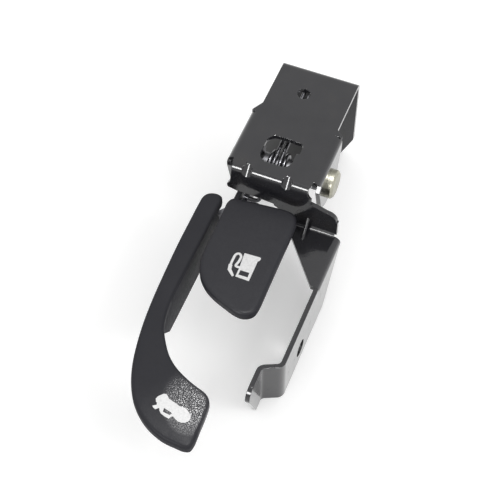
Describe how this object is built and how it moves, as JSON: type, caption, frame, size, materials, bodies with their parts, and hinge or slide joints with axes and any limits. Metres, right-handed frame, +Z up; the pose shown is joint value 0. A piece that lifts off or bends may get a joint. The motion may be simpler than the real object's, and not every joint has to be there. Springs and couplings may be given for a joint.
{
  "type": "fuel door and trunk release lever",
  "caption": "Floor-mounted release lever unit: stamped steel bracket with a mounting leg, and sprung fuel door and trunk hand levers with moulded knobs on one pivot pin.",
  "frame": {"origin": "centre of the leg's bolt hole, on the face that clamps to the car body", "axes": "+X from the bracket to the lever tips, +Y out of the leg's clamping face, +Z up out of the bracket's top plate"},
  "size_m": [0.1493, 0.0503, 0.042],
  "materials": {
    "black_paint": "semi-gloss black dip paint",
    "yellow_zinc": "pale yellow zinc",
    "zinc": "clear zinc",
    "arm_steel": "bare pressed steel",
    "spring_steel": "drawn wire",
    "knob_plastic": "charcoal, fine leather grain"
  },
  "bodies": {
    "bracket": {"bracket": "black_paint", "pivot_pin": "yellow_zinc", "pin_washer": "zinc", "ear_washer": "zinc", "hub_washer": "zinc", "spring_sleeve": "zinc", "fuel_spring": "spring_steel", "trunk_spring": "spring_steel"},
    "fuel_lever": {"fuel_arm": "arm_steel", "fuel_knob": "knob_plastic"},
    "trunk_lever": {"trunk_arm": "arm_steel", "trunk_knob": "knob_plastic"}
  },
  "joints": [
    {"name": "fuel_lever_lift", "type": "hinge", "parent": "bracket", "child": "fuel_lever", "pos_m": [-0.054, -0.0376, 0.0226], "axis": [0, -1, 0], "range_deg": [0, 22], "stiffness_Nm_per_rad": 0.25, "springref_deg": -28.65, "deforming": ["fuel_spring"]},
    {"name": "trunk_lever_lift", "type": "hinge", "parent": "bracket", "child": "trunk_lever", "pos_m": [-0.054, -0.0406, 0.0226], "axis": [0, -1, 0], "range_deg": [0, 22], "stiffness_Nm_per_rad": 0.35, "springref_deg": -28.65, "deforming": ["trunk_spring"]}
  ]
}
